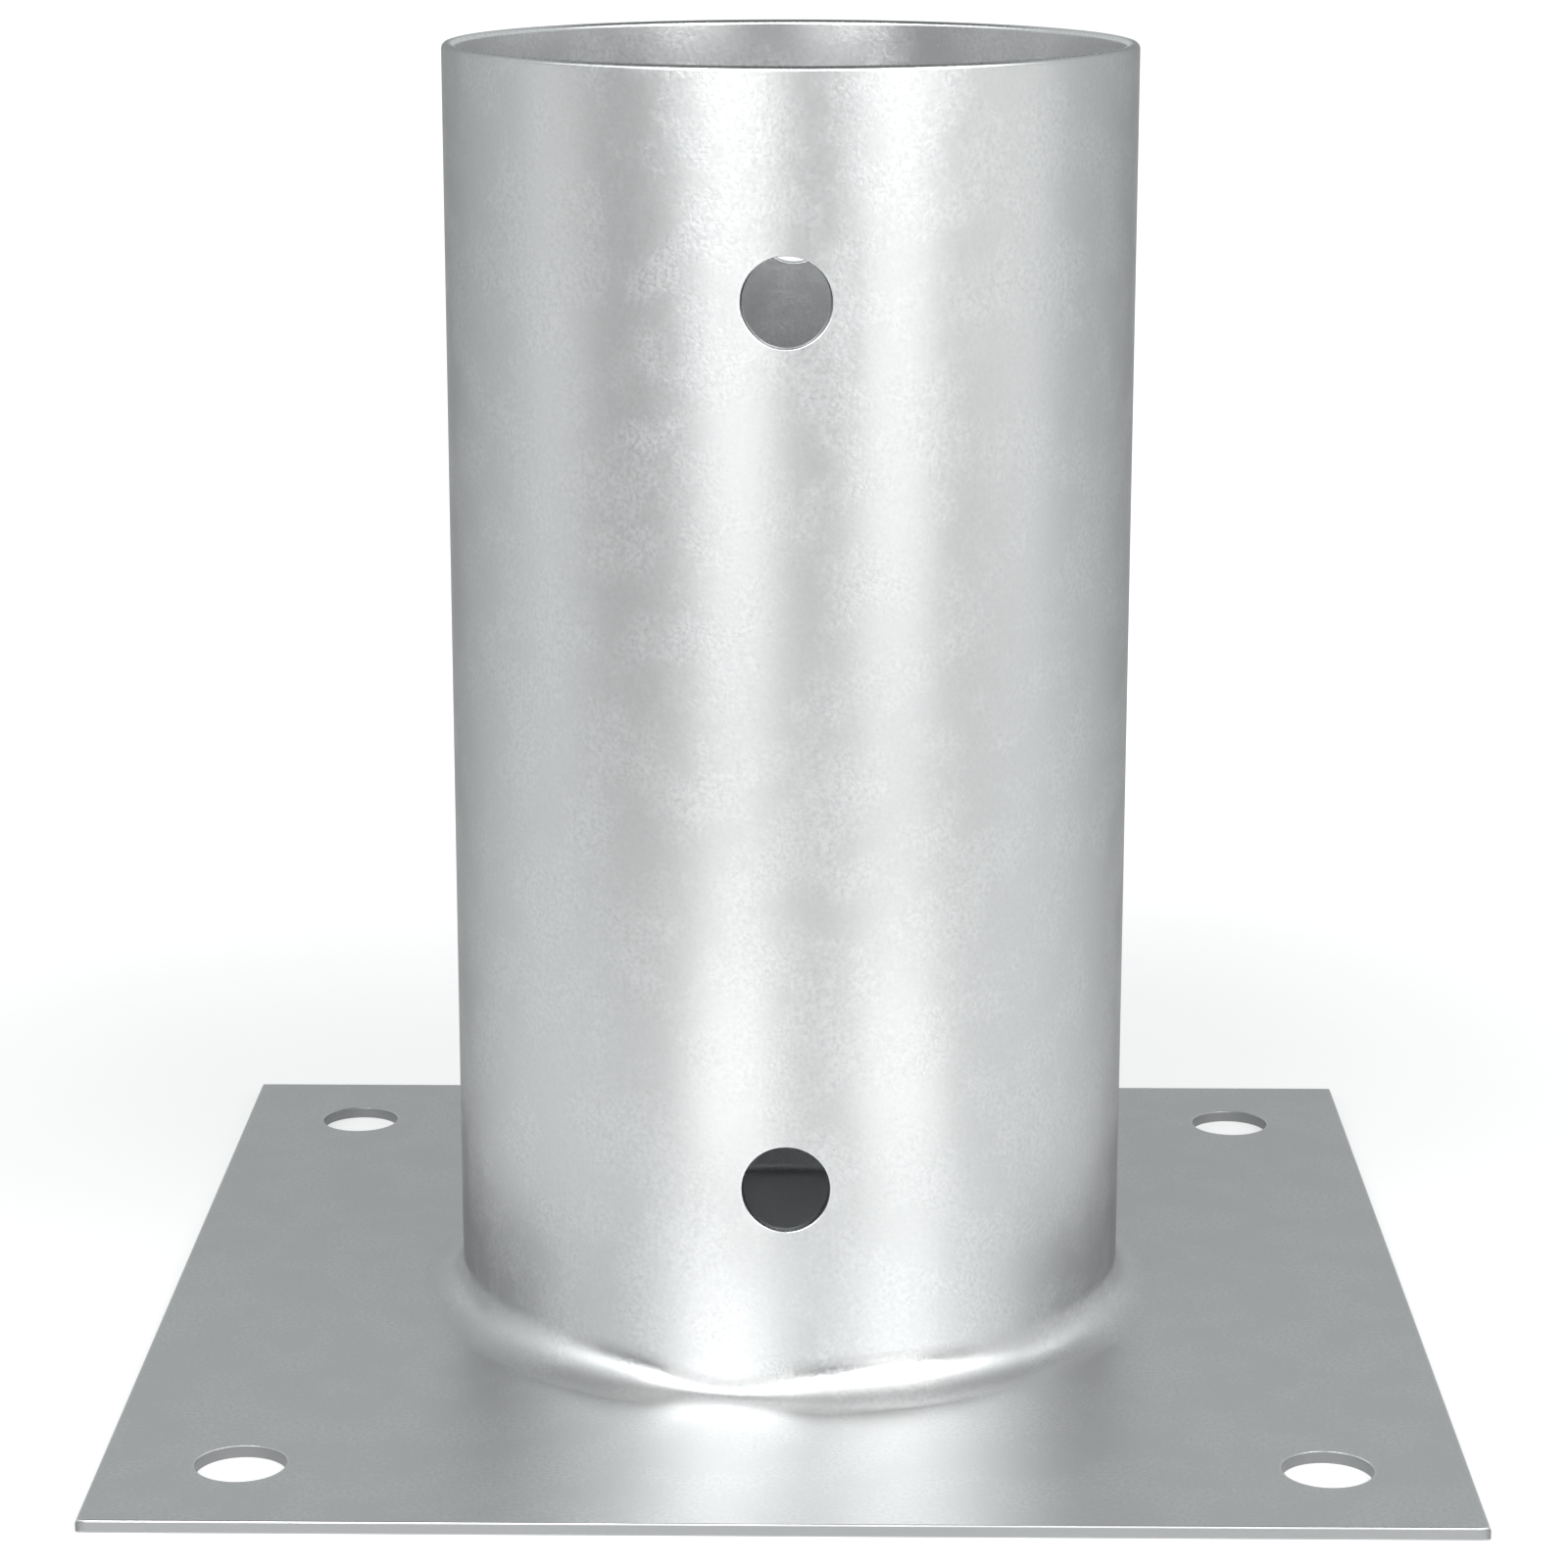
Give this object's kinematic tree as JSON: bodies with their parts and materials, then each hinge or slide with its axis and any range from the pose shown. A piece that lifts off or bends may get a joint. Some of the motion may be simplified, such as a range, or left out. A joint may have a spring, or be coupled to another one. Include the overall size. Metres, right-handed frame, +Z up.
{
  "type": "round post ground anchor",
  "caption": "Square screw-down base plate with an upright round sleeve welded to it, drilled crosswise near top and foot, for holding the foot of a round post on a hard surface.",
  "frame": {"origin": "centre of the base plate's underside, on the sleeve's axis", "axes": "+Z up along the sleeve's axis towards its open rim; the sleeve's screw holes face -Y and +Y; the plate's edges lie along X and Y"},
  "size_m": [0.15, 0.15, 0.1515],
  "materials": {
    "galvanised_steel": "hot-dip zinc, satin grey with fine cloudy mottling"
  },
  "bodies": {
    "root": {"base_plate": "galvanised_steel", "post_sleeve": "galvanised_steel", "weld_bead": "galvanised_steel"}
  },
  "joints": []
}
